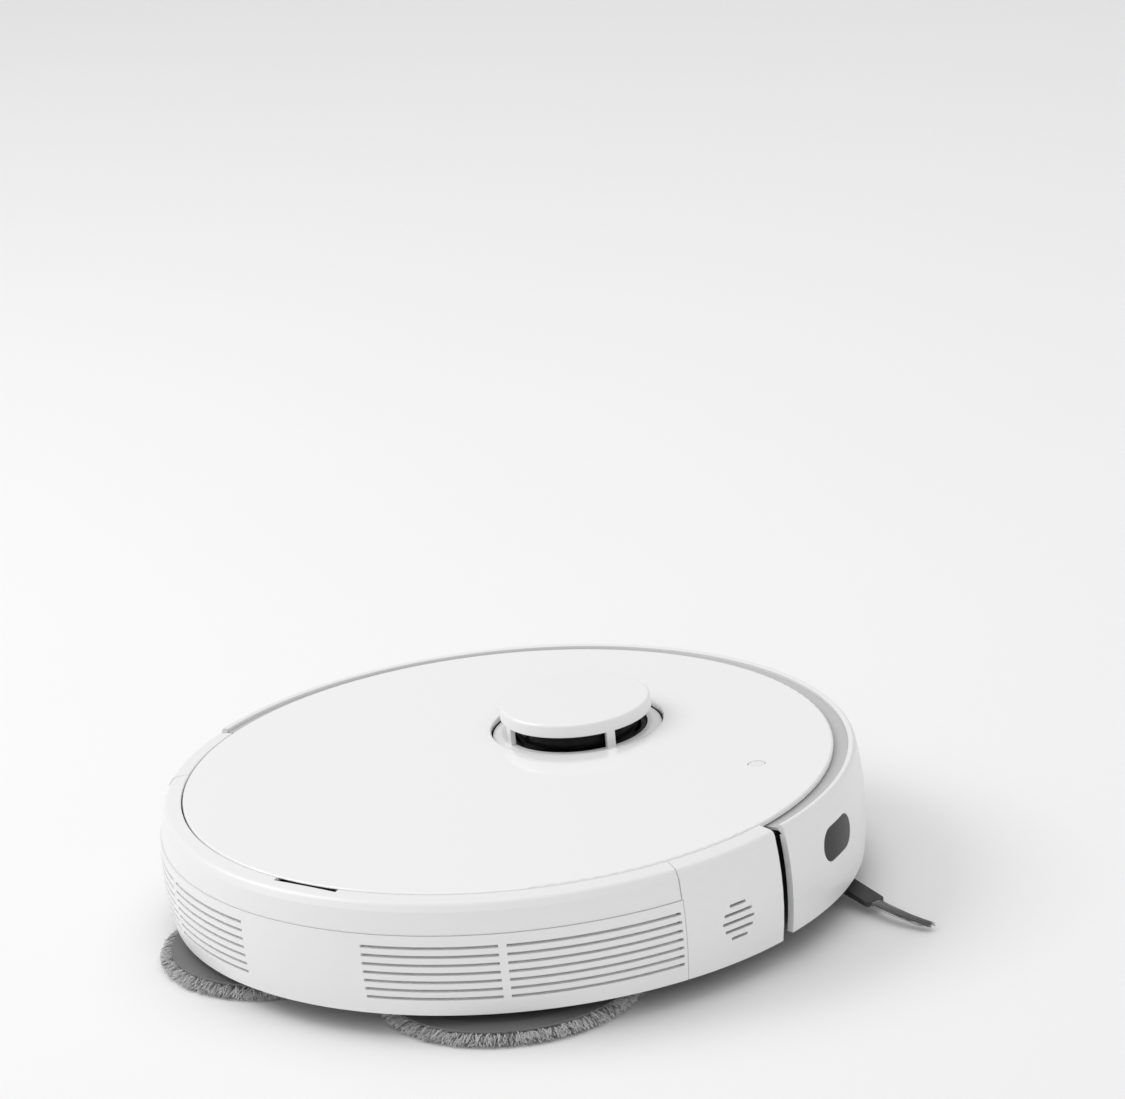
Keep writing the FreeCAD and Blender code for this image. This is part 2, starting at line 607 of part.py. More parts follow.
def window_piece(t, z, width, height):
    """Curved window that fills its opening, a little proud of the bumper's inside."""
    plug = stadium_cutter(t, z, width - 0.3, height - 0.3, *SENSOR_CUT)
    flange = stadium_cutter(t, z, width + 3, height + 3, *SENSOR_CUT)
    skin = side_wall(z - 14, z + 14, t - 25, t + 25, 0.25, 1.85)
    back = side_wall(z - 14, z + 14, t - 25, t + 25, 2.1, 0.9)
    return fuse([skin.common(plug), back.common(flange)])


def wall_sensor_window():
    return window_piece(WALL_SENSOR_T, WALL_SENSOR_Z, *WALL_SENSOR_SIZE)


def front_sensor_window():
    return window_piece(0.0, FRONT_SENSOR_Z, *FRONT_SENSOR_SIZE)


def bumper_springs():
    coils = []
    for t in (-50.0, 50.0):
        pad = box(-4, 4, FRAME_R + 0.1, FRAME_R + 3.2, 28, 34)
        hollow = box(-3, 3, FRAME_R - 1, FRAME_R + 2.6, 27, 35)
        arm = box(-14, 14, FRAME_R + 0.1, FRAME_R + 0.7, 29, 33)
        leaf = fuse([pad.cut(hollow), arm])
        leaf.rotate(V(0, 0, 0), V(0, 0, 1), -t)
        coils.append(leaf)
    return group(coils)


# ---- drive wheels -------------------------------------------------------------------------
def tyre():
    x0, x1 = WHEEL[0] - WHEEL_W / 2, WHEEL[0] + WHEEL_W / 2
    y, z = WHEEL[1], WHEEL[2]
    body = tube_x(x0, x1, y, z, WHEEL_R, TYRE_IN)
    rims = [e for e in body.Edges if abs(e.BoundBox.ZLength - 2 * WHEEL_R) < 0.1]
    body = body.makeFillet(2.0, rims)
    lugs = 28
    cuts = []
    for k in range(lugs):
        groove = Part.makeBox(WHEEL_W * 0.62, 2.6, 3.0,
                              V(x0 - 1 if k % 2 else x1 + 1 - WHEEL_W * 0.62, y - 1.3, z + WHEEL_R - 1.8))
        groove.rotate(V(x0, y, z), V(1, 0, 0), 360.0 * k / lugs)
        cuts.append(groove)
    return body.cut(group(cuts))


def wheel_hub():
    x0, x1 = WHEEL[0] - WHEEL_W / 2, WHEEL[0] + WHEEL_W / 2
    y, z = WHEEL[1], WHEEL[2]
    web = rod_x(x0 + 1.5, x0 + 5.0, y, z, TYRE_IN - 1.0)
    rim = tube_x(x0 + 1.0, x1 - 1.0, y, z, TYRE_IN, TYRE_IN - 3.0)
    boss = rod_x(x0 + 1.5, x1 - 3.0, y, z, 7.0)
    spokes = []
    for k in range(6):
        spoke = Part.makeBox(WHEEL_W - 6, 3.0, 12.5, V(x0 + 3.0, y - 1.5, z + 6))
        spoke.rotate(V(x0, y, z), V(1, 0, 0), 60.0 * k)
        spokes.append(spoke)
    axle = rod_x(ARM_X[0] + 4, x0 + 2.0, y, z, 3.5)
    return fuse([web, rim, boss, axle] + spokes)


def drive_arm():
    """Gearbox case of the wheel, hinged on the chassis at its rear end."""
    x0, x1 = ARM_X
    y, z = WHEEL[1], WHEEL[2]
    py, pz = ARM_PIVOT
    case = fuse([rod_x(x0, x1, y, z, 15.0), rod_x(x0, x1, py, pz, 8.0),
                 box(x0, x1, py, y, z - 7, z + 10)])
    my, mz = y - 24.0, z + 8.0
    motor = fuse([rod_x(x0 - 26, x0 + 1, my, mz, 10.5), rod_x(x0 - 28, x0 - 26, my, mz, 4.0)])
    case = fuse([case, motor])
    case = case.cut(rod_x(x0 - 1, x1 + 1, py, pz, PIN_R + 0.05))
    return case.cut(rod_x(x0 + 3.5, x1 + 1, y, z, 3.5 + 0.05))


def arm_bracket():
    """Chassis bracket whose two ears hold the suspension pin, with the pin."""
    py, pz = ARM_PIVOT
    ears = [box(ARM_X[0] - 5.5, ARM_X[0] - 0.6, py - 8, py + 8, PAN_TOP, pz + 8),
            box(ARM_X[1] + 0.6, ARM_X[1] + 2.6, py - 8, py + 8, PAN_TOP, pz + 8)]
    foot = box(ARM_X[0] - 5.5, ARM_X[1] + 2.6, py - 18.0, py - 12.2, PAN_TOP, PAN_TOP + 3)
    links = [box(ARM_X[0] - 5.5, ARM_X[0] - 0.6, py - 18, py - 7, PAN_TOP, PAN_TOP + 6),
             box(ARM_X[1] + 0.6, ARM_X[1] + 2.6, py - 18, py - 7, PAN_TOP, PAN_TOP + 6)]
    pin = rod_x(ARM_X[0] - 6, ARM_X[1] + 3, py, pz, PIN_R)
    return fuse(ears + [foot, pin] + links)


# ---- caster -------------------------------------------------------------------------------
def caster_socket():
    x, y = CASTER
    cup = ring(x, y, PAN_TOP, 34.0, 26.5, 24.0)
    top = rod(x, y, 32.0, 34.5, 26.5)
    boss = rod(x, y, 34.0, 42.0, 7.0)
    return fuse([cup, top, boss]).cut(rod(x, y, 20, 40.0, 3.55))


def caster_fork():
    x, y = CASTER
    stem = rod(x, y, 26.0, 39.5, 3.5)
    crown = rod(x, y, 27.2, 31.2, 20.0)
    cheeks = []
    for side in (-1, 1):
        cheeks.append(box(*sorted((x + side * 9.2, x + side * 12.0)), y - CASTER_TRAIL - 5,
                          y - CASTER_TRAIL + 5, CASTER_R - 4.5, 28.0))
    shape = fuse([crown] + cheeks)
    axle = rod_x(x - 12.0, x + 12.0, y - CASTER_TRAIL, CASTER_R, 1.5)
    return fuse([shape, stem, axle])


def caster_wheel():
    x, y = CASTER
    wheel = rod_x(x - 8.6, x + 8.6, y - CASTER_TRAIL, CASTER_R, CASTER_R)
    wheel = wheel.makeFillet(3.0, [e for e in wheel.Edges if abs(e.BoundBox.ZLength - 2 * CASTER_R) < 0.1
                                   and e.BoundBox.XLength < 0.1])
    groove = tube_x(x - 2.0, x + 2.0, y - CASTER_TRAIL, CASTER_R, CASTER_R + 1, CASTER_R - 1.2)
    return wheel.cut(groove).cut(rod_x(x - 9, x + 9, y - CASTER_TRAIL, CASTER_R, 1.55))


# ---- main brush ---------------------------------------------------------------------------
def brush_cage():
    """Half-round suction duct over the main brush, open below, with a slot to the bin."""
    half = BRUSH_HALF + 5
    shell = tube_x(-half, half, BRUSH_Y, BRUSH_Z, CAGE_R + CAGE_T, CAGE_R)
    shell = shell.cut(box(-half - 1, half + 1, BRUSH_Y - 40, BRUSH_Y + 40, -10, PAN_TOP + 0.1))
    ends = []
    for x0, x1 in ((-half, -half + 2), (half - 2, half)):
        ends.append(rod_x(x0, x1, BRUSH_Y, BRUSH_Z, CAGE_R + 0.5).cut(
            box(-200, 200, BRUSH_Y - 40, BRUSH_Y + 40, -10, PAN_TOP + 0.1)))
    outlet = box(-34, 34, BIN[3] + 1.2, BRUSH_Y - 18, 28.0, 44.0)
    shell = fuse([shell] + ends + [outlet])
    shell = shell.cut(box(-32, 32, BIN[3], BRUSH_Y - 10, 30.0, 42.0))
    inner = rod_x(-half + 2, half - 2, BRUSH_Y, BRUSH_Z, CAGE_R)
    return shell.cut(inner).cut(rod_x(-half - 5, half + 5, BRUSH_Y, BRUSH_Z, AXLE_R + 0.05))


def brush_guard():
    """Removable frame round the mouth with cross bars under the brush."""
    x1 = BRUSH_HALF + 7.6
    y0, y1 = MOUTH_Y
    frame = box(-x1, x1, y0 + 0.4, y1 - 0.4, 10.4, PAN_TOP - 0.4, 2.5)
    frame = frame.cut(box(-x1 + 9, x1 - 9, y0 + 5, y1 - 5, 5, 20, 3.0))
    frame = frame.cut(rod_x(-BRUSH_HALF - 1, BRUSH_HALF + 1, BRUSH_Y, BRUSH_Z, BRUSH_R + 0.8))
    bars = []
    for x in (-40.0, 0.0, 40.0):
        bar = box(x - 1.2, x + 1.2, y0 + 3, y1 - 3, 8.2, 13.0)
        bar = bar.cut(rod_x(x - 3, x + 3, BRUSH_Y, BRUSH_Z, BRUSH_R + 0.8))
        bars.append(bar)
    tabs = [box(s * 50 - 9, s * 50 + 9, y1 - 5.5, y1 - 1.0, 9.4, 11.0) for s in (-1, 1)]
    return fuse([frame] + tabs + bars)


def brush_roller():
    """Rubber roller: core, helical bristle strips and fins cut for the guard's bars."""
    core = rod_x(-BRUSH_HALF, BRUSH_HALF, BRUSH_Y, BRUSH_Z, 10.0)
    fins = []
    turns = 0.42
    for k in range(6):
        pieces = 10
        for n in range(pieces):
            x0 = -BRUSH_HALF + 2 * BRUSH_HALF * n / pieces
            x1 = x0 + 2 * BRUSH_HALF / pieces - 0.6
            fin = Part.makeBox(x1 - x0, 1.6, BRUSH_R - 9.0, V(x0, BRUSH_Y - 0.8, BRUSH_Z + 8.5))
            sweep = abs((x0 + x1) / 2) / BRUSH_HALF * 360 * turns / 2
            fin.rotate(V(0, BRUSH_Y, BRUSH_Z), V(1, 0, 0), 60.0 * k + sweep)
            fins.append(fin)
    axle = rod_x(-BRUSH_HALF - 7, BRUSH_HALF + 12, BRUSH_Y, BRUSH_Z, AXLE_R)
    return fuse([core, axle] + fins)


def brush_gearbox():
    """Gearbox and motor at the brush's right end."""
    x0 = BRUSH_HALF + 8.4
    case = fuse([rod_x(x0, x0 + 11, BRUSH_Y, BRUSH_Z + 1.0, 6.6),
                 box(x0, x0 + 11, BRUSH_Y - 6, BRUSH_Y + 7, BRUSH_Z + 1, 46.0)])
    motor = rod_x(x0, x0 + 11.0, BRUSH_Y, 44.0, 9.0)
    return fuse([case, motor]).cut(rod_x(x0 - 1, x0 + 6, BRUSH_Y, BRUSH_Z, AXLE_R + 0.1))


# ---- side brush ---------------------------------------------------------------------------
def side_brush_hub():
    x, y = SIDE_BRUSH
    return fuse([rod(x, y, 5.0, 10.6, 13.0), rod(x, y, 10.0, 24.0, 5.0)])


def side_brush_arms():
    """Two flexible rubber arms round the hub, thinner towards their tips."""
    x, y = SIDE_BRUSH
    collar = ring(x, y, 4.2, 9.4, 15.0, 13.0)
    arms = []
    for t in SIDE_ARMS:
        arm = box(-5.0, 5.0, 13.6, SIDE_BRUSH_ARM, 4.0, 8.6, 2.0)
        arm = arm.cut(arm_slope())
        arm.rotate(V(0, 0, 0), V(0, 0, 1), -t)
        arm.translate(V(x, y, 0))
        arms.append(arm)
    return fuse([collar] + arms)


def arm_slope():
    """Wedge that takes the arm's top down towards its tip."""
    wedge = Part.makePolygon([V(0, 14, 8.7), V(0, 75, 8.7), V(0, 75, 6.2), V(0, 14, 8.7)])
    block = Part.Face(wedge).extrude(V(20, 0, 0))
    block.translate(V(-10, 0, 0))
    return block


def side_brush_tufts():
    """Plain cone for each tuft, widening from its arm's end and leaning back from it."""
    x, y = SIDE_BRUSH
    tufts = []
    for t in SIDE_ARMS:
        start = at(t, SIDE_BRUSH_ARM + 0.4, 5.4)
        along = at(t + TUFT_SWEEP, SIDE_BRUSH_REACH, 4.4) - start
        tuft = Part.makeCone(1.2, 3.0, along.Length, start, along)
        tuft.translate(V(x, y, 0))
        tufts.append(tuft)
    return group(tufts)


def side_brush_motor():
    x, y = SIDE_BRUSH
    case = rod(x, y, PAN_TOP + 0.4, 30.0, 15.5)
    motor = rod(x, y, 30.0, 50.0, 11.5)
    return fuse([case, motor]).cut(rod(x, y, 10, 25.0, 5.05))


# ---- mops ---------------------------------------------------------------------------------
def mop_plate():
    x, y = MOP
    plate = sector([(0, 5.2), (MOP_PLATE_R, 5.2), (MOP_PLATE_R, 6.2, 0.4),
                    (MOP_PLATE_R - 8, MOP_PLATE_TOP), (0, MOP_PLATE_TOP)], centre=MOP)
    hub = rod(x, y, 7.0, 12.6, 11.6)
    return fuse([plate, hub]).cut(rod(x, y, 5.0, 13.0, 6.05))


def mop_pad():
    return sector([(0, 0.0), (MOP_R, 0.0, 2.4), (MOP_R, 5.4, 2.4), (MOP_PLATE_R + 0.2, 6.4),
                   (MOP_PLATE_R + 0.2, 5.15), (0, 5.15)], centre=MOP)


def mop_shaft():
    """Output shaft of the mop gearbox with its worm wheel."""
    x, y = MOP
    return fuse([rod(x, y, 6.0, 12.6, 6.0), rod(x, y, 12.5, 28.0, 5.0),
                 toothed(x, y, WORM_Z - 3.0, WORM_Z + 3.0, WHEEL_PITCH_R, WORM_TEETH)])


def toothed(x, y, z0, z1, pitch_r, teeth, phase=0.0):
    """Plain spur gear with straight-sided teeth."""
    module = 2 * pitch_r / teeth
    root, tip = pitch_r - 1.15 * module, pitch_r + 0.9 * module
    points = []
    for k in range(teeth):
        a = 2 * math.pi * (k + phase) / teeth
        step = 2 * math.pi / teeth
        for share, r in ((-0.30, root), (-0.12, tip), (0.12, tip), (0.30, root)):
            b = a + share * step
            points.append(V(x + r * math.sin(b), y + r * math.cos(b), z0))
    points.append(points[0])
    return Part.Face(Part.makePolygon(points)).extrude(V(0, 0, z1 - z0))


def mop_worm():
    """Motor rotor with a worm at each end, of opposite hands, one for each mop shaft."""
    x = MOP[0]
    pitch = 2 * math.pi * WHEEL_PITCH_R / WORM_TEETH
    pieces = [rod_x(-x - 12, x + 12, WORM_Y, WORM_Z, 2.0)]
    for sign in (-1, 1):
        pieces.append(rod_x(sign * x - 9.5, sign * x + 9.5, WORM_Y, WORM_Z, WORM_R - 1.2))
        for k in range(-1, 3):
            x0 = sign * x + (k - 0.5) * pitch
            pieces.append(tube_x(x0 - 0.7, x0 + 0.7, WORM_Y, WORM_Z, WORM_R, WORM_R - 1.5))
    return fuse(pieces)


def mop_gearbox():
    """Case over both mop shafts with the worm motor between them."""
    x, y = MOP
    half = 15.0 + 4.2
    top, low = WORM_Z + 6.0, PAN_TOP + 1.8
    hulls = [rod(s * x, y, low, top, half + 2.0) for s in (-1, 1)]
    spine = box(-x - 14, x + 14, WORM_Y - 7.5, WORM_Y + 7.5, low, top, 2.0)
    case = fuse(hulls + [spine])
    inside = [rod(s * x, y, low + 1.8, top - 1.8, half) for s in (-1, 1)]
    inside.append(box(-x - 12, x + 12, WORM_Y - 5.6, WORM_Y + 5.6, low + 1.2, top - 1.2))
    case = case.cut(fuse(inside))
    motor = rod_x(-24, 24, WORM_Y, WORM_Z, 7.4).cut(rod_x(-26, 26, WORM_Y, WORM_Z, 2.0 + EASE))
    case = fuse([case, motor])
    collars = [rod(s * x, y, PAN_TOP + 0.1, low + 0.2, 11.0) for s in (-1, 1)]
    case = fuse([case] + collars)
    for s in (-1, 1):
        case = case.cut(rod(s * x, y, 10, 32, 5.05))
    return case


# ---- inner units --------------------------------------------------------------------------
def dust_bin():
    x0, x1, y0, y1 = BIN
    z0, z1 = BIN_Z
    shell = box(x0, x1, y0, y1, z0, z1, 6.0)
    shell = shell.cut(box(x0 + 2, x1 - 2, y0 + 2, y1 - 2, z0 + 2, z1 - 3.5, 4.5))
    shell = shell.cut(box(-31, 31, y1 - 3, y1 + 3, 31.0, 41.0))
    x2, x3, y2, y3 = DUST_PORT
    shell = shell.cut(box(x2 + 3, x3 - 3, y2 + 2, y3 - 5.5, z0 - 1, z0 + 3))
    shell = shell.cut(box(x1 - 3, x1 + 3, -40, 8, 34, 56))
    return shell


def dust_duct():
    """Short chimney from the dust bin down to the emptying port in the pan."""
    x0, x1, y0, y1 = DUST_PORT
    outer = box(x0 - 1.0, x1 + 1.0, y0 - 1.0, y1 - 2.0, BODY_BOTTOM, BIN_Z[0] - 0.2, 2.5)
    flange = box(x0 - 1.0, x1 + 1.0, y1 - 3.0, y1 + 1.0, BODY_BOTTOM, PAN_TOP)
    return fuse([outer, flange]).cut(box(x0 + 2.4, x1 - 2.4, y0 + 2.4, y1 - 5.0, 5, 40, 1.5))


def bin_handle():
    """Carry handle folded flat on the bin."""
    x0, x1, y0, y1 = BIN
    z = BIN_Z[1] + 0.2
    bar = box(x0 + 18, x1 - 18, y0 + 22, y1 - 22, z, z + 1.8, 8.0)
    return bar.cut(box(x0 + 25, x1 - 25, y0 + 29, y1 - 29, z - 2, z + 5, 4.0))


def bin_filter():
    """Pleated filter in the bin's right wall."""
    x1 = BIN[1]
    pleats = []
    frame = box(x1 - 9.0, x1 - 2.3, -42, 10, 32, 58).cut(box(x1 - 12, x1 + 2, -39.5, 7.5, 34.5, 55.5))
    count = 16
    for k in range(count):
        y = -39.0 + k * 46.0 / count
        pleats.append(box(x1 - 8.5, x1 - 2.8, y, y + 1.3, 34.0, 56.0))
    back = box(x1 - 9.0, x1 - 8.0, -40, 8, 34, 56)
    return fuse([frame, back] + pleats)


def fan_housing():
    """Scroll case of the suction fan."""
    x, y = FAN
    z0, z1 = FAN_Z
    scroll = ring(x, y, z0 + 1.0, z1 - 0.4, FAN_R, FAN_R - 2.0)
    floor = rod(x, y, z0, z0 + 2.0, FAN_R)
    top = ring(x, y, z1 - 1.8, z1, FAN_R, 13.0)
    return fuse([scroll, floor, top]).cut(rod(x, y, 20, 40, 2.6))


def fan_motor():
    x, y = FAN
    return ring(x, y, 31.2, 45.0, 14.0, 2.0 + EASE)


def fan_impeller():
    x, y = FAN
    disc = rod(x, y, 46.0, 47.4, 23.0)
    hub = rod(x, y, 32.0, 54.0, 2.0)
    dome = Part.makeCone(9.0, 4.0, 6.0, V(x, y, 47.4))
    blades = []
    for k in range(9):
        blade = box(7.0, 22.5, -0.6, 0.6, 47.0, 54.5)
        blade.rotate(V(9, 0, 0), V(0, 0, 1), 28)
        blade.rotate(V(0, 0, 0), V(0, 0, 1), 40.0 * k)
        blade.translate(V(x, y, 0))
        blades.append(blade)
    return fuse([disc, hub, dome] + blades)


def water_tank():
    """Clear water tank with its filling hole on top."""
    z0, z1 = TANK_Z
    shell = tank_outline(0.0, z0, z1)
    cavity = tank_outline(-2.2, z0 + 2.2, z1 - 2.2)
    return shell.cut(cavity).cut(rod(*TANK_MOUTH, z1 - 5, z1 + 2, 12.0))


def tank_cap():
    """Soft stopper in the tank's filling hole, with a grip rib."""
    x, y = TANK_MOUTH
    top = TANK_Z[1] + 1.0
    return fuse([rod(x, y, top - 2.8, top, 11.9), rod(x, y, top - 6.6, top - 2.6, 9.0),
                 box(x - 8, x + 8, y - 1.5, y + 1.5, top - 0.2, top + 1.2)])


def battery_pack():
    x0, x1, y0, y1 = BATTERY
    return box(x0, x1, y0, y1, PAN_TOP + 0.6, 44.0, 4.0)


def main_board():
    """Circuit board with its chips and connectors, each given as x0, x1, y0, y1, height."""
    top = BOARD_Z + 1.6
    board = box(-94, 94, 86, 125, BOARD_Z, top, 4.0)
    blocks = [(-20, 8, 97, 121, 1.8), (30, 46, 96, 112, 1.4), (-60, -44, 98, 110, 3.4),
              (60, 86, 90, 96, 5.4), (-88, -70, 90, 96, 5.4), (16, 24, 114, 122, 6.4)]
    chips = [box(x0, x1, y0, y1, top, top + height) for x0, x1, y0, y1, height in blocks]
    return fuse([board] + chips)


def speaker():
    d = radial_rod(SPEAKER_T, SPEAKER_Z, BODY_R - WALL - 12, BODY_R - WALL - 2.6, 12.5)
    cone = radial_rod(SPEAKER_T, SPEAKER_Z, BODY_R - WALL - 20, BODY_R - WALL - 11.5, 8.0)
    return fuse([d, cone])


def water_pump():
    x, y = PUMP
    return fuse([rod(x, y, PAN_TOP + 0.4, 40, 9.0), box(x - 5, x + 5, y - 12, y - 6, 20, 34)])


def bumper_switches():
    made = []
    for t in (-28.0, 28.0):
        block = box(-6, 6, 155.0, FRAME_R - 2.3, 26, 34)
        block.rotate(V(0, 0, 0), V(0, 0, 1), -t)
        made.append(block)
    return group(made)


def cliff_windows():
    """Infrared windows of the four cliff sensors."""
    layer = rod(0, 0, BODY_BOTTOM - 0.2, BODY_BOTTOM + 1.8, 200)
    return group([cliff_block(x, y, t, -0.1).common(layer) for x, y, t in cliff_places()])


def charging_contacts():
    y0, y1 = CONTACT_Y
    made = []
    for x in (-CONTACT_X, CONTACT_X):
        made.append(box(x - 10.8, x + 10.8, y0 + 0.2, y1 - 0.2, BODY_BOTTOM - 0.6, BODY_BOTTOM + 1.8, 2.0))
    return group(made)


def pan_screws():
    made = []
    for x, y in pan_screw_places():
        head = rod(x, y, BODY_BOTTOM + 0.1, BODY_BOTTOM + 1.6, 2.9)
        cross = [box(x - 1.8, x + 1.8, y - 0.4, y + 0.4, BODY_BOTTOM - 1, BODY_BOTTOM + 0.9),
                 box(x - 0.4, x + 0.4, y - 1.8, y + 1.8, BODY_BOTTOM - 1, BODY_BOTTOM + 0.9)]
        made.append(fuse([head, rod(x, y, BODY_BOTTOM + 1.5, PAN_TOP + 0.0, 1.5)]).cut(group(cross)))
    return group(made)


SINGLE = {
    "chassis_pan": chassis_pan,
    "rear_housing": rear_housing,
    "rear_band": rear_band,
    "vent_louvre_liner": vent_liner,
    "inner_deck": deck,
    "top_lid": lid,
    "power_button": power_button,
    "turret_cap": turret_cap,
    "laser_head": laser_head,
    "laser_base": laser_base,
    "laser_motor": laser_motor,
    "laser_motor_pulley": laser_motor_pulley,
    "laser_belt": laser_belt,
    "bumper": bumper,
    "bumper_ring": bumper_ring,
    "wall_sensor_window": wall_sensor_window,
    "front_sensor_window": front_sensor_window,
    "bumper_springs": bumper_springs,
    "bumper_switches": bumper_switches,
    "arm_brackets": lambda: group(both(arm_bracket())),
    "caster_socket": caster_socket,
    "caster_fork": caster_fork,
    "caster_wheel": caster_wheel,
    "brush_cage": brush_cage,
    "brush_guard": brush_guard,
    "brush_roller": brush_roller,
    "brush_gearbox": brush_gearbox,
    "side_brush_hub": side_brush_hub,
    "side_brush_arms": side_brush_arms,
    "side_brush_tufts": side_brush_tufts,
    "side_brush_motor": side_brush_motor,
    "mop_gearbox": mop_gearbox,
    "mop_worm": mop_worm,
    "dust_bin": dust_bin,
    "bin_handle": bin_handle,
    "bin_filter": bin_filter,
    "fan_housing": fan_housing,
    "fan_motor": fan_motor,
    "fan_impeller": fan_impeller,
    "water_tank": water_tank,
    "tank_cap": tank_cap,
    "battery_pack": battery_pack,
    "main_board": main_board,
    "speaker": speaker,
    "water_pump": water_pump,
    "cliff_windows": cliff_windows,
    "charging_contacts": charging_contacts,
    "pan_screws": pan_screws,
}
PAIRED = {
    "tyre": tyre,
    "wheel_hub": wheel_hub,
    "drive_arm": drive_arm,
    "mop_plate": mop_plate,
    "mop_pad": mop_pad,
    "mop_shaft": mop_shaft,
}


def save(name, shape):
    bad = not shape.Solids or any(not s.isValid() or s.Volume < 0.5 for s in shape.Solids)
    print(f"{name:24s} solids {len(shape.Solids)} volume {shape.Volume / 1000:8.2f} cm3", "BAD" * bad)
    shape.exportStep(f"parts/{name}.step")


os.makedirs("parts", exist_ok=True)
for name, maker in SINGLE.items():
    save(name, maker())
for name, maker in PAIRED.items():
    right = maker()
    save(name + "_right", right)
    save(name + "_left", mirror(right))
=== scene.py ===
"""Looks of the robot vacuum: materials for every CAD node, the fibre mop pads, the side brush's
bristles, a pale floor, soft studio light and the camera.  Metres, in the part's own frame."""

import json
import math
import random

import bpy
from mathutils import Matrix, Vector


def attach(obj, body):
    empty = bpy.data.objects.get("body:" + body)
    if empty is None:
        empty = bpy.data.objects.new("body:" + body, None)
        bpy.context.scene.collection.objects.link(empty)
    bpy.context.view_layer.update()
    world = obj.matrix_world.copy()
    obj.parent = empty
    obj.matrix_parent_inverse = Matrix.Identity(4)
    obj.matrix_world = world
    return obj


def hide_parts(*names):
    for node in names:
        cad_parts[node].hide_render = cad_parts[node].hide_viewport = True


MM = 0.001
rng = random.Random(7)

# ---- camera: seen from behind and to the right, with the robot's nose tipped up ------------
CAMERA_AZIMUTH = 38.1        # degrees from straight behind, towards the robot's right
CAMERA_ELEVATION = 21.8
CAMERA_ROLL = -6.0
CAMERA_DISTANCE = 2.6        # from the aim point
CAMERA_AIM = Vector((0.0, 0.0, 0.0365))
AIM_YAW = 0.535              # degrees off the aim point: it sits low and left in the frame
AIM_PITCH = 3.023
LENS = 167.3                 # mm
SENSOR = 36.0                # mm
CLIP_END = 50.0


def add_camera():
    """The camera looks at the aim point from behind and to the right, then turns a little off it."""
    az, el, roll = (math.radians(a) for a in (CAMERA_AZIMUTH, CAMERA_ELEVATION, CAMERA_ROLL))
    back = Vector((math.sin(az) * math.cos(el), -math.cos(az) * math.cos(el), math.sin(el)))
    level = Vector((math.cos(az), math.sin(az), 0.0))
    upright = back.cross(level)
    right = math.cos(roll) * level + math.sin(roll) * upright
    up = back.cross(right)
    ahead = right * math.tan(math.radians(AIM_YAW)) + up * math.tan(math.radians(AIM_PITCH)) - back
    turned_back = -ahead.normalized()
    turned_right = (right - turned_back * right.dot(turned_back)).normalized()
    turned_up = turned_back.cross(turned_right)
    data = bpy.data.cameras.new("camera")
    data.lens = LENS
    data.sensor_width = SENSOR
    data.clip_end = CLIP_END
    cam = bpy.data.objects.new("camera", data)
    bpy.context.scene.collection.objects.link(cam)
    turn = Matrix((turned_right, turned_up, turned_back)).transposed().to_4x4()
    cam.matrix_world = Matrix.Translation(CAMERA_AIM + back * CAMERA_DISTANCE) @ turn
    bpy.context.scene.camera = cam


add_camera()
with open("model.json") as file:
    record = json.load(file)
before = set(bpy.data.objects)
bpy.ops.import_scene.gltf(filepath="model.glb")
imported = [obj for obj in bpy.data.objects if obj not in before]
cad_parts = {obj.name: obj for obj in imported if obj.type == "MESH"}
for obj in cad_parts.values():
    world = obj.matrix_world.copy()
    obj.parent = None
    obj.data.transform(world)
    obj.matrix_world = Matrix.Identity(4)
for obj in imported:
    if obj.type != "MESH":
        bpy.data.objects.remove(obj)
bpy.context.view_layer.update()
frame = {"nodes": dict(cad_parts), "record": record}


def link_mesh(name, mesh):
    """A new object that shows the mesh."""
    obj = bpy.data.objects.new(name, mesh)
    bpy.context.scene.collection.objects.link(obj)
    return obj


# ---- materials ------------------------------------------------------------------------------
COAT_ROUGHNESS = 0.06
DRIFT_FROM, DRIFT_TO = 0.2, 0.8      # the part of the noise's range that the roughness follows
PLASTIC_DRIFT = 22.0                 # grains per metre of the roughness drift
RUBBER_DRIFT = 60.0
METAL_DRIFT = 120.0
BRUSHED = (1.0, 14.0, 1.0)           # metal's fine lines: the noise is finer along y


def shader(name, colour, roughness, metallic=0.0, coat=0.0, sheen=0.0, specular=0.5, clear=0.0):
    """A new material with its uniform values on the shader's own sockets."""
    mat = bpy.data.materials.new(name)
    mat.use_nodes = True
    node = mat.node_tree.nodes["Principled BSDF"]
    node.inputs["Base Color"].default_value = (*colour, 1.0)
    node.inputs["Roughness"].default_value = roughness
    node.inputs["Metallic"].default_value = metallic
    node.inputs["Coat Weight"].default_value = coat
    node.inputs["Coat Roughness"].default_value = COAT_ROUGHNESS
    node.inputs["Sheen Weight"].default_value = sheen
    node.inputs["Specular IOR Level"].default_value = specular
    node.inputs["Transmission Weight"].default_value = clear
    return mat, node


def object_noise(mat, scale, detail=2.0, stretch=(1.0, 1.0, 1.0)):
    """Noise fixed to the object, in grains per metre."""
    tree = mat.node_tree
    where = tree.nodes.new("ShaderNodeTexCoord")
    mapping = tree.nodes.new("ShaderNodeMapping")
    mapping.inputs["Scale"].default_value = stretch
    noise = tree.nodes.new("ShaderNodeTexNoise")
    noise.inputs["Scale"].default_value = scale
    noise.inputs["Detail"].default_value = detail
    tree.links.new(where.outputs["Object"], mapping.inputs["Vector"])
    tree.links.new(mapping.outputs["Vector"], noise.inputs["Vector"])
    return noise


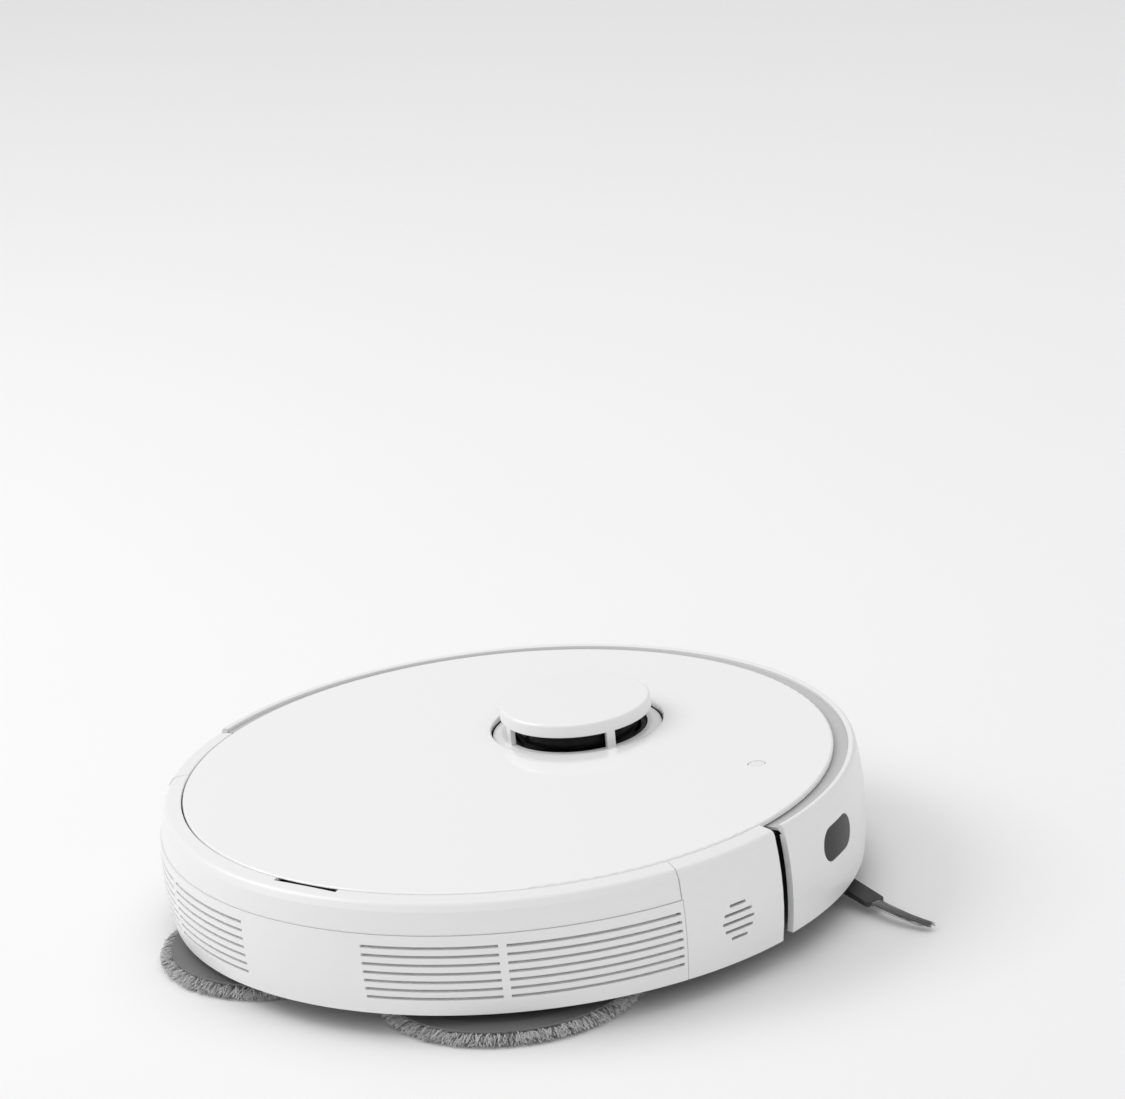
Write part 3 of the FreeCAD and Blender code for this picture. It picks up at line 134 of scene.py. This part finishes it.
def add_bump(mat, node, scale, depth, detail=2.0, stretch=(1.0, 1.0, 1.0)):
    """Fine surface relief, depth in metres."""
    tree = mat.node_tree
    noise = object_noise(mat, scale, detail, stretch)
    bump = tree.nodes.new("ShaderNodeBump")
    bump.inputs["Strength"].default_value = 1.0
    bump.inputs["Distance"].default_value = depth
    tree.links.new(noise.outputs["Fac"], bump.inputs["Height"])
    tree.links.new(bump.outputs["Normal"], node.inputs["Normal"])


def vary_roughness(mat, node, low, high, scale):
    """Roughness that drifts between two values. A range across 0.27 leaves outlines after denoising."""
    tree = mat.node_tree
    noise = object_noise(mat, scale)
    spread = tree.nodes.new("ShaderNodeMapRange")
    spread.interpolation_type = "SMOOTHSTEP"
    spread.inputs["From Min"].default_value = DRIFT_FROM
    spread.inputs["From Max"].default_value = DRIFT_TO
    spread.inputs["To Min"].default_value = low
    spread.inputs["To Max"].default_value = high
    tree.links.new(noise.outputs["Fac"], spread.inputs["Value"])
    tree.links.new(spread.outputs["Result"], node.inputs["Roughness"])


def vary_colour(mat, node, one, two, scale, detail=4.0):
    """Base colour that drifts between two colours."""
    tree = mat.node_tree
    noise = object_noise(mat, scale, detail)
    mix = tree.nodes.new("ShaderNodeMix")
    mix.data_type = "RGBA"
    mix.inputs["A"].default_value = (*one, 1.0)
    mix.inputs["B"].default_value = (*two, 1.0)
    tree.links.new(noise.outputs["Fac"], mix.inputs["Factor"])
    tree.links.new(mix.outputs["Result"], node.inputs["Base Color"])


def grey(value, warm=0.0):
    """A grey, or one a little towards yellow."""
    return (value + warm, value, value - warm)


def plastic(name, colour, low, high, grain, depth, coat=0.0, specular=0.5):
    """Moulded plastic: low and high are its roughness, grain and depth its moulded texture."""
    mat, node = shader(name, colour, low, coat=coat, specular=specular)
    vary_roughness(mat, node, low, high, PLASTIC_DRIFT)
    add_bump(mat, node, grain, depth)
    return mat


def rubber(name, colour, low=0.55, high=0.75):
    """Dull rubber with a fine grain."""
    mat, node = shader(name, colour, low, specular=0.35)
    vary_roughness(mat, node, low, high, RUBBER_DRIFT)
    add_bump(mat, node, 2600.0, 1.2e-5, 3.0)
    return mat


def metal(name, colour, low, high):
    """Brushed metal."""
    mat, node = shader(name, colour, low, metallic=1.0)
    vary_roughness(mat, node, low, high, METAL_DRIFT)
    add_bump(mat, node, 900.0, 3e-6, 2.0, BRUSHED)
    return mat


def cloth(name, one, two):
    """Fibre or nylon: dull, with a sheen and two colours."""
    mat, node = shader(name, one, 0.95, sheen=0.6, specular=0.15)
    vary_colour(mat, node, one, two, 700.0)
    add_bump(mat, node, 3800.0, 6e-5, 4.0)
    return mat


def clear(name, colour, roughness, amount):
    """Smoked or frosted plastic that lets an amount of the light through."""
    mat, node = shader(name, colour, roughness, clear=amount)
    add_bump(mat, node, 400.0, 3e-6)
    return mat


def board(name):
    """Circuit board green under a lacquer."""
    mat, node = shader(name, (0.02, 0.13, 0.06), 0.35, coat=0.3)
    vary_colour(mat, node, (0.015, 0.11, 0.05), (0.03, 0.17, 0.08), 260.0)
    add_bump(mat, node, 500.0, 1e-5)
    return mat


SLOT_MATERIALS = {
    "white_gloss": plastic("lid_white", grey(0.96), 0.09, 0.16, 60.0, 4e-6, coat=0.7),
    "white_shell": plastic("shell_white", grey(0.88), 0.29, 0.38, 1500.0, 3e-6, coat=0.15),
    "bumper_white": plastic("bumper_white", grey(0.86), 0.29, 0.38, 1500.0, 3e-6, coat=0.15),
    # ring_grey paints shade: the recessed ring round the lid is the bumper's white plastic, and its mid
    # grey is painted shade
    "ring_grey": plastic("ring_grey", grey(0.54), 0.36, 0.48, 1500.0, 4e-6),
    "turret_white": plastic("turret_white", grey(0.93), 0.16, 0.24, 1500.0, 2e-6, coat=0.4),
    "button_grey": plastic("button_white", grey(0.88), 0.18, 0.26, 1500.0, 2e-6, coat=0.3),
    "dark_window": plastic("window_black", grey(0.008), 0.18, 0.26, 60.0, 2e-6, specular=0.25),
    "liner_grey": plastic("liner_grey", grey(0.8), 0.55, 0.7, 1400.0, 1e-5),
    "frame_black": plastic("frame_black", grey(0.02), 0.5, 0.65, 1400.0, 1e-5),
    "pan_grey": plastic("pan_grey", grey(0.055), 0.5, 0.68, 1100.0, 2.5e-5),
    "unit_black": plastic("unit_black", grey(0.025), 0.42, 0.6, 1300.0, 1.5e-5),
    "unit_grey": plastic("unit_grey", grey(0.16), 0.4, 0.55, 1300.0, 1.5e-5),
    "hub_grey": plastic("hub_grey", grey(0.12), 0.4, 0.55, 1300.0, 1.5e-5),
    "plate_grey": plastic("plate_grey", grey(0.17), 0.42, 0.58, 1300.0, 1.5e-5),
    "gear_nylon": plastic("gear_nylon", (0.72, 0.7, 0.62), 0.4, 0.5, 1300.0, 1e-5),
    "battery_wrap": plastic("battery_wrap", (0.03, 0.09, 0.22), 0.29, 0.38, 300.0, 1e-5, coat=0.3),
    "filter_paper": plastic("filter_paper", grey(0.82, 0.01), 0.85, 0.95, 2500.0, 3e-5),
    "steel": metal("steel", grey(0.62), 0.29, 0.42),
    "motor_can": metal("motor_can", grey(0.55), 0.3, 0.42),
    "contact_plate": metal("contact_plate", (0.75, 0.7, 0.6), 0.14, 0.26),
    "screw": metal("screw_zinc", grey(0.3), 0.34, 0.46),
    "tyre_rubber": rubber("tyre_rubber", grey(0.018), 0.62, 0.8),
    "arm_rubber": rubber("arm_rubber", grey(0.06)),
    "roller_rubber": rubber("roller_rubber", grey(0.05)),
    "belt_rubber": rubber("belt_rubber", grey(0.02)),
    "cap_rubber": rubber("cap_rubber", grey(0.3)),
    "tuft_nylon": cloth("tuft_nylon", grey(0.13), grey(0.2)),
    "mop_fibre": cloth("mop_fibre", grey(0.5), grey(0.34)),
    "bin_clear": clear("bin_smoked", grey(0.3), 0.12, 0.7),
    "tank_clear": clear("tank_frosted", grey(0.85), 0.35, 0.6),
    "board_green": board("board_green"),
}

# every CAD node gets the material of its slot
slot_of = {entry["node"]: entry["material_slot"] for entry in frame["record"]["subparts"]}
for node_name, node_object in frame["nodes"].items():
    node_object.data.materials.clear()
    node_object.data.materials.append(SLOT_MATERIALS[slot_of[node_name]])


# ---- strands: thin three-sided fibres, all in one mesh ----------------------------------------
SIDES = 3


class Strands:
    """A growing list of fibres, which build turns into one mesh object."""

    def __init__(self):
        self.verts, self.faces, self.mats = [], [], []

    def add(self, points, radius, mat=0, tip=0.35):
        """A fibre along the points, thinning to tip times its radius."""
        first = len(self.verts)
        last = len(points) - 1
        for i, point in enumerate(points):
            along = (points[min(i + 1, last)] - points[max(i - 1, 0)]).normalized()
            side = along.cross(Vector((0.0, 0.0, 1.0)))
            side = side.normalized() if side.length > 1e-4 else Vector((1.0, 0.0, 0.0))
            other = along.cross(side)
            r = radius * (1.0 - (1.0 - tip) * i / last)
            for k in range(SIDES):
                a = 2.0 * math.pi * k / SIDES
                self.verts.append(point + (side * math.cos(a) + other * math.sin(a)) * r)
        for i in range(last):
            a = first + SIDES * i
            b = a + SIDES
            for k in range(SIDES):
                n = (k + 1) % SIDES
                self.faces.append((a + k, a + n, b + n, b + k))
                self.mats.append(mat)
        end = first + SIDES * last
        self.faces.append((end, end + 1, end + 2))
        self.faces.append((first + 2, first + 1, first))
        self.mats += [mat, mat]

    def build(self, name, materials):
        """The fibres as one object. A fibre's mat is its place in materials."""
        mesh = bpy.data.meshes.new(name)
        mesh.from_pydata([tuple(v) for v in self.verts], [], self.faces)
        mesh.polygons.foreach_set("material_index", self.mats)
        for material in materials:
            mesh.materials.append(material)
        mesh.shade_smooth()
        return link_mesh(name, mesh)


def on_circle(centre, angle, radius, z):
    """A point at a height on a circle round a centre, with the angle in radians from +x."""
    return Vector((centre[0] + radius * math.cos(angle), centre[1] + radius * math.sin(angle), z))


# ---- mop pads ---------------------------------------------------------------------------------
MOP_X, MOP_Y = 66.6 * MM, -99.5 * MM
PAD_CORE_R = 59.0 * MM
PAD_FRINGE_R = 65.8 * MM
PAD_SIDES = 120
PAD_WAVE = 0.006             # how far the core's edge waves in and out, as a share of its radius
PAD_WAVES = 9
PAD_RINGS = [                # share of the core's radius, height in mm: from the middle below, round
    (0.0, 0.9),              # the rolled edge, to the middle on top
    (0.55, 0.9),
    (0.9, 1.0),
    (0.985, 1.8),
    (1.0, 3.0),
    (0.985, 4.4),
    (0.95, 5.0),
    (0.0, 5.0),
]
FRINGE_FIBRES = 3000         # round the pad's edge
SOLE_FIBRES = 2600           # under the pad
FIBRE_STEPS = 4              # straight pieces along a fibre
FIBRE_FLOOR = 0.35 * MM      # no fibre's middle line goes lower than this
SOLE_HEIGHT = 1.1 * MM
SOLE_SAG = 0.65 * MM
SOLE_MARGIN = 1.5 * MM
LIGHT_SHARE, MID_SHARE = 0.66, 0.87      # below the first a fibre is pale, below the second mid-grey

fibre_light = cloth("fibre_light", grey(0.82), grey(0.66))
fibre_mid = cloth("fibre_mid", grey(0.55), grey(0.4))
fibre_dark = cloth("fibre_dark", grey(0.17), grey(0.1))


def fibre_kind():
    """Mostly pale fibres, with mid-grey and dark ones among them."""
    pick = rng.random()
    if pick < LIGHT_SHARE:
        return 0
    return 1 if pick < MID_SHARE else 2


def pad_core(name, centre):
    """Foam-backed core: a crowned disc with a rolled edge and a soft waviness."""
    verts, faces = [], []
    for share, z in PAD_RINGS:
        for k in range(PAD_SIDES):
            a = 2.0 * math.pi * k / PAD_SIDES
            wave = 1.0 + PAD_WAVE * math.sin(PAD_WAVES * a) * share
            verts.append(tuple(on_circle(centre, a, PAD_CORE_R * share * wave, z * MM)))
    for i in range(len(PAD_RINGS) - 1):
        a = i * PAD_SIDES
        b = a + PAD_SIDES
        for k in range(PAD_SIDES):
            n = (k + 1) % PAD_SIDES
            faces.append((a + k, b + k, b + n, a + n))
    mesh = bpy.data.meshes.new(name)
    mesh.from_pydata(verts, [], faces)
    mesh.materials.append(fibre_mid)
    mesh.shade_smooth()
    return link_mesh(name, mesh)


def add_fringe(strands, centre):
    """Fibres that stand out from the core's edge and droop towards the floor."""
    for _ in range(FRINGE_FIBRES):
        a = rng.uniform(0.0, 2.0 * math.pi)
        r0 = PAD_CORE_R - rng.uniform(0.5, 3.0) * MM
        z0 = rng.uniform(1.2, 5.2) * MM
        r1 = PAD_FRINGE_R - abs(rng.gauss(0.0, 1.4)) * MM
        z1 = rng.uniform(0.4, 4.0) * MM
        lean = rng.gauss(0.0, 0.035)
        lift = rng.uniform(0.2, 1.6) * MM
        points = []
        for i in range(FIBRE_STEPS + 1):
            s = i / FIBRE_STEPS
            z = z0 * (1 - s) + z1 * s + lift * math.sin(math.pi * s)
            points.append(on_circle(centre, a + lean * s, r0 + (r1 - r0) * s, max(z, FIBRE_FLOOR)))
        strands.add(points, rng.uniform(0.28, 0.45) * MM, fibre_kind(), 0.5)


def add_sole(strands, centre):
    """Fibres that lie flat under the core, each in its own direction."""
    for _ in range(SOLE_FIBRES):
        a = rng.uniform(0.0, 2.0 * math.pi)
        r = (PAD_CORE_R - SOLE_MARGIN) * math.sqrt(rng.random())
        heading = rng.uniform(0.0, 2.0 * math.pi)
        reach = rng.uniform(2.0, 4.0) * MM
        base = on_circle(centre, a, r, SOLE_HEIGHT)
        points = []
        for i in range(FIBRE_STEPS + 1):
            s = i / FIBRE_STEPS
            step = Vector((math.cos(heading), math.sin(heading), 0.0)) * reach * s
            drop = Vector((0.0, 0.0, -SOLE_SAG * math.sin(math.pi * s)))
            points.append(base + step + drop)
        strands.add(points, rng.uniform(0.3, 0.42) * MM, fibre_kind(), 0.8)


def pad_fibres(name, centre):
    """All the fibres of one pad."""
    strands = Strands()
    add_fringe(strands, centre)
    add_sole(strands, centre)
    return strands.build(name, [fibre_light, fibre_mid, fibre_dark])


for side, sign in (("right", 1), ("left", -1)):
    centre = (sign * MOP_X, MOP_Y)
    core = pad_core(f"mop_pad_core_{side}", centre)
    fibres = pad_fibres(f"mop_pad_fibres_{side}", centre)
    for piece in (core, fibres):
        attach(piece, f"mop_{side}")
    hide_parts(f"mop_pad_{side}")


# ---- side brush bristles ----------------------------------------------------------------------
BRUSH_X, BRUSH_Y = 118.0 * MM, 79.0 * MM
BRUSH_ARMS = (116.0, 296.0)  # bearings of the arms, in degrees from straight ahead, towards the right
ARM_LENGTH = 67.0 * MM       # where the bristles leave the arm
BRISTLE_REACH = 105.0 * MM
BRISTLE_SWEEP = -4.9         # degrees of bearing that a bristle has turned by its tip
BRISTLE_BEND = 1.6           # the bend grows as this power of the way along
BRISTLE_R = 0.24 * MM
BRISTLE_STEPS = 8
BRISTLES = 90                # on each arm


def side_point(bearing, radius, z):
    """A point round the side brush's axis, with the bearing in degrees from +y towards +x."""
    a = math.radians(bearing)
    return Vector((BRUSH_X + radius * math.sin(a), BRUSH_Y + radius * math.cos(a), z))


tufts = Strands()
for bearing in BRUSH_ARMS:
    for _ in range(BRISTLES):
        spread = rng.gauss(0.0, 1.0)
        reach = BRISTLE_REACH - abs(rng.gauss(0.0, 2.5)) * MM
        z0 = rng.uniform(4.6, 6.2) * MM
        z1 = rng.uniform(1.6, 3.4) * MM
        points = []
        for i in range(BRISTLE_STEPS + 1):
            s = i / BRISTLE_STEPS
            bend = BRISTLE_SWEEP * s ** BRISTLE_BEND + spread * (0.9 - 0.2 * s)
            radius = ARM_LENGTH + (reach - ARM_LENGTH) * s
            points.append(side_point(bearing + bend, radius, z0 + (z1 - z0) * s * s))
        tufts.add(points, BRISTLE_R, 0, 0.4)
bristles = tufts.build("side_brush_bristles", [SLOT_MATERIALS["tuft_nylon"]])
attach(bristles, "side_brush")
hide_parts("side_brush_tufts")


# ---- floor and light --------------------------------------------------------------------------
FLOOR_SIZE = 30.0
FLOOR_Z = -0.5 * MM
FLOOR_DRIFT = 3.0
WHITE = (1.0, 1.0, 1.0)
WORLD_STRENGTH = 0.62
LIGHT_TARGET = (0.0, 0.0, 0.04)
LIGHTS = [                   # name, place, size, watts
    ("key", (-1.7, -0.7, 1.9), (1.5, 1.5), 25.0),
    ("fill", (1.8, -1.8, 1.2), (1.4, 1.4), 3.0),
    ("top", (0.2, 0.6, 2.4), (2.2, 2.2), 9.0),
]


def add_floor():
    """A pale floor just under the wheels."""
    bpy.ops.mesh.primitive_plane_add(size=FLOOR_SIZE, location=(0.0, 0.0, FLOOR_Z))
    floor = bpy.context.object
    floor.name = "floor"
    mat, node = shader("floor_pale", grey(0.95), 0.6, specular=0.25)
    vary_roughness(mat, node, 0.55, 0.65, FLOOR_DRIFT)
    floor.data.materials.append(mat)


def area_light(name, place, size, power):
    """A rectangular light that points at the robot."""
    data = bpy.data.lights.new(name, "AREA")
    data.shape = "RECTANGLE"
    data.size, data.size_y = size
    data.energy = power
    light = bpy.data.objects.new(name, data)
    bpy.context.scene.collection.objects.link(light)
    light.location = place
    aim = Vector(LIGHT_TARGET) - Vector(place)
    light.rotation_euler = aim.to_track_quat("-Z", "Y").to_euler()


def add_world(strength, colour):
    """Even light from all round."""
    world = bpy.data.worlds.new("studio")
    world.use_nodes = True
    back = world.node_tree.nodes["Background"]
    back.inputs["Color"].default_value = (*colour, 1.0)
    back.inputs["Strength"].default_value = strength
    bpy.context.scene.world = world


add_floor()
add_world(WORLD_STRENGTH, WHITE)
for light_name, place, size, power in LIGHTS:
    area_light(light_name, place, size, power)
bpy.context.scene.view_settings.view_transform = "Standard"
